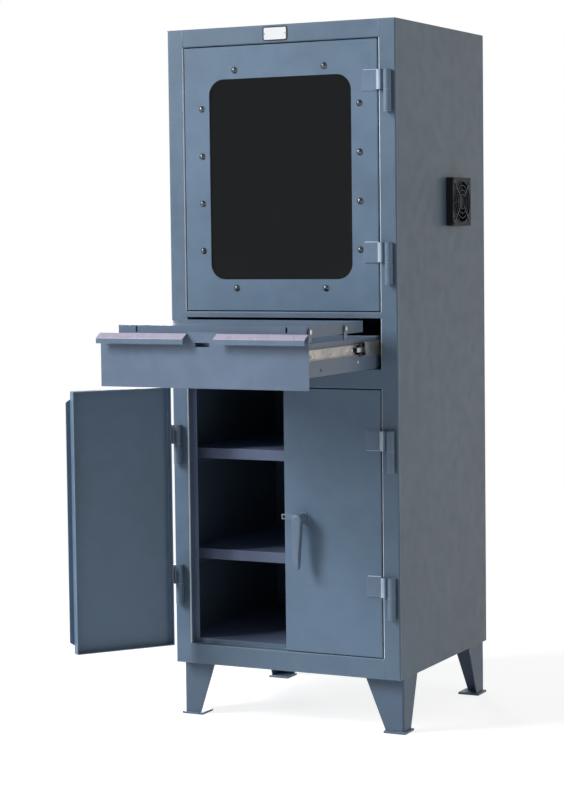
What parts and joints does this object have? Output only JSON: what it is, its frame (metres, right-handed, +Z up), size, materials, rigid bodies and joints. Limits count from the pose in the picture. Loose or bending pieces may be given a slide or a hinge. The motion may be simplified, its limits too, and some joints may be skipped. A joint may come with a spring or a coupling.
{
  "type": "computer armoire",
  "caption": "Steel computer armoire on gusset legs, with a windowed upper door, a pull-out keyboard drawer with a lift-up tray, and lower double doors over shelves.",
  "frame": {"origin": "centre of the leg anchor-hole rectangle on the floor plane, under the middle of the cabinet", "axes": "+Z up, +X to the cabinet's right side seen from the front, +Y to the back; the front frame faces -Y"},
  "size_m": [0.9164, 1.1564, 1.9876],
  "materials": {
    "body_paint": "satin blue-grey enamel on 12-gauge sheet",
    "door_paint": "satin blue-grey enamel",
    "drawer_paint": "satin blue-grey enamel",
    "hinge_paint": "satin enamel over welded steel strap",
    "cast_handle": "enamelled casting",
    "zinc_plate": "bright zinc plate",
    "bolt_steel": "zinc-plated fastener",
    "latch_steel": "plain cold-rolled steel",
    "window_plastic": "clear polycarbonate, gloss",
    "fan_plastic": "moulded glass-filled plastic",
    "guard_wire": "black coated wire"
  },
  "bodies": {
    "cabinet": {"top_panel": "body_paint", "bottom_panel": "body_paint", "back_panel": "body_paint", "side_panel_left": "body_paint", "side_panel_right": "body_paint", "stile_left": "body_paint", "stile_right": "body_paint", "header_rail": "body_paint", "upper_rail": "body_paint", "lower_rail": "body_paint", "sill_rail": "body_paint", "door_stops": "body_paint", "upper_deck": "body_paint", "lower_deck": "body_paint", "cabinet_floor": "body_paint", "leg_front_left": "body_paint", "leg_front_right": "body_paint", "leg_rear_left": "body_paint", "leg_rear_right": "body_paint", "foot_plates": "body_paint", "shelf_lower": "body_paint", "shelf_upper": "body_paint", "shelf_cleats": "body_paint", "slide_brackets": "body_paint", "slide_outer_members": "zinc_plate", "upper_hinge_barrels": "hinge_paint", "right_hinge_barrels": "hinge_paint", "left_hinge_barrels": "hinge_paint", "hinge_pins": "bolt_steel", "fan_housing": "fan_plastic", "fan_guard": "guard_wire"},
    "upper_door": {"upper_door_panel": "door_paint", "window_pane": "window_plastic", "window_bolts": "bolt_steel", "upper_hinge_leaves": "hinge_paint"},
    "right_door": {"right_door_panel": "door_paint", "right_hinge_leaves": "hinge_paint", "rod_guides": "latch_steel", "handle_escutcheon": "cast_handle"},
    "left_door": {"left_door_panel": "door_paint", "astragal": "door_paint", "left_hinge_leaves": "hinge_paint"},
    "handle": {"handle_lever": "cast_handle", "handle_cam": "latch_steel"},
    "latch_rod_up": {"latch_rod_top": "latch_steel"},
    "latch_rod_down": {"latch_rod_bottom": "latch_steel"},
    "drawer": {"drawer_front": "drawer_paint", "drawer_bottom": "drawer_paint", "drawer_sides": "drawer_paint", "drawer_ends": "drawer_paint", "slide_inner_members": "zinc_plate", "drawer_studs": "bolt_steel"},
    "slide_middle": {"slide_middle_members": "zinc_plate"},
    "front_links": {"tray_links_front": "zinc_plate"},
    "tray": {"keyboard_tray": "drawer_paint", "tray_studs": "bolt_steel"},
    "rear_links": {"tray_links_rear": "zinc_plate"},
    "fan_wheel": {"fan_rotor": "fan_plastic"}
  },
  "joints": [
    {"name": "upper_door_swing", "type": "hinge", "parent": "cabinet", "child": "upper_door", "pos_m": [0.336, -0.3562, 1.55475], "axis": [0, 0, 1], "range_deg": [0, 175]},
    {"name": "right_door_swing", "type": "hinge", "parent": "cabinet", "child": "right_door", "pos_m": [0.336, -0.3562, 0.59775], "axis": [0, 0, 1], "range_deg": [0, 175]},
    {"name": "left_door_swing", "type": "hinge", "parent": "cabinet", "child": "left_door", "pos_m": [-0.336, -0.3562, 0.59775], "axis": [0, 0, 1], "range_deg": [-48, 127]},
    {"name": "handle_turn", "type": "hinge", "parent": "right_door", "child": "handle", "pos_m": [0.064, -0.3447, 0.60225], "axis": [0, -1, 0], "range_deg": [0, 90]},
    {"name": "top_rod_slide", "type": "slide", "parent": "right_door", "child": "latch_rod_up", "axis": [0, 0, 1], "range_m": [0, 0.02]},
    {"name": "bottom_rod_slide", "type": "slide", "parent": "right_door", "child": "latch_rod_down", "axis": [0, 0, -1], "range_m": [0, 0.02]},
    {"name": "drawer_slide", "type": "slide", "parent": "cabinet", "child": "drawer", "axis": [0, 1, 0], "range_m": [0, 0.467]},
    {"name": "middle_slide", "type": "slide", "parent": "cabinet", "child": "slide_middle", "axis": [0, 1, 0], "range_m": [0, 0.2335]},
    {"name": "tray_fold", "type": "hinge", "parent": "drawer", "child": "front_links", "pos_m": [0, -0.7497, 1.08875], "axis": [-1, 0, 0], "range_deg": [0, 88]},
    {"name": "tray_level", "type": "hinge", "parent": "front_links", "child": "tray", "pos_m": [0, -0.7497, 1.14675], "axis": [-1, 0, 0], "range_deg": [-88, 0]},
    {"name": "rear_link_fold", "type": "hinge", "parent": "drawer", "child": "rear_links", "pos_m": [0, -0.5297, 1.08875], "axis": [-1, 0, 0], "range_deg": [0, 88]},
    {"name": "fan_spin", "type": "hinge", "parent": "cabinet", "child": "fan_wheel", "pos_m": [0.3556, 0.086, 1.48975], "axis": [1, 0, 0], "continuous": true}
  ],
  "couplings": [
    {"joint": "top_rod_slide", "follows": "handle_turn", "m_per_rad": 0.01273},
    {"joint": "bottom_rod_slide", "follows": "handle_turn", "m_per_rad": 0.01273},
    {"joint": "middle_slide", "follows": "drawer_slide", "ratio": 0.5},
    {"joint": "tray_level", "follows": "tray_fold", "ratio": -1},
    {"joint": "rear_link_fold", "follows": "tray_fold", "ratio": 1}
  ]
}
